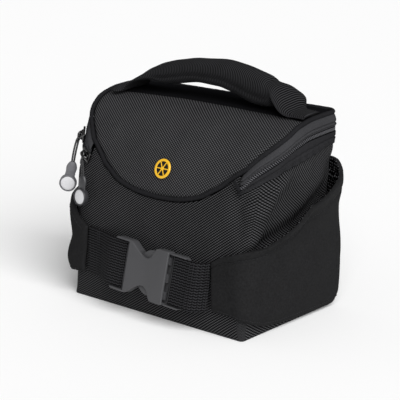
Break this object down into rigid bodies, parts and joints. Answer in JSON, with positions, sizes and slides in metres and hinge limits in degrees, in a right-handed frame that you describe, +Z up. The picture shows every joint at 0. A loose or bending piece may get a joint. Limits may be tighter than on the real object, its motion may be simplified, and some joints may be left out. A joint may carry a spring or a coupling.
{
  "type": "handlebar bag",
  "caption": "Boxy cloth handlebar bag with a sloping zipped lid, padded top handle, side wings joined by a belt with a side-release buckle, and a back mounting plate.",
  "frame": {"origin": "middle of the box round the bag without its zip pulls, on the surface that it stands on", "axes": "+X to the right of someone facing the bag's front, the end where the zip stops; -Y out of the front with the buckle; +Y out of the back with the mounting plate; +Z up"},
  "size_m": [0.2614, 0.166, 0.2403],
  "materials": {
    "body_cloth": "woven nylon, coated",
    "smooth_cloth": "smooth tape",
    "piping_cloth": "smooth edging",
    "handle_cloth": "ribbed band over padding",
    "wing_cloth": "smooth padded cloth with mesh lining",
    "webbing": "ribbed webbing",
    "buckle_plastic": "matte moulded",
    "zip_teeth": "coil",
    "slider_metal": "glossy black",
    "pull_cord": "braided",
    "pull_rubber": "satin",
    "reflector": "reflective",
    "badge": "satin",
    "plate_plastic": "matte moulded"
  },
  "bodies": {
    "root": {"badge": "badge", "bag_body": "body_cloth", "buckle_female": "buckle_plastic", "buckle_male": "buckle_plastic", "handle": "handle_cloth", "lid_panel": "body_cloth", "lid_piping": "piping_cloth", "lid_side_band": "body_cloth", "lid_top_band": "smooth_cloth", "mounting_plate": "plate_plastic", "pull_cord_1": "pull_cord", "pull_cord_2": "pull_cord", "pull_tip_1": "pull_rubber", "pull_tip_2": "pull_rubber", "reflector_disc_1": "reflector", "reflector_disc_2": "reflector", "webbing_left": "webbing", "webbing_right": "webbing", "wing_left": "wing_cloth", "wing_right": "wing_cloth", "zip_end_tab": "zip_teeth", "zip_slider_lower": "slider_metal", "zip_slider_upper": "slider_metal", "zip_tape_lower": "smooth_cloth", "zip_teeth": "zip_teeth"}
  },
  "joints": []
}
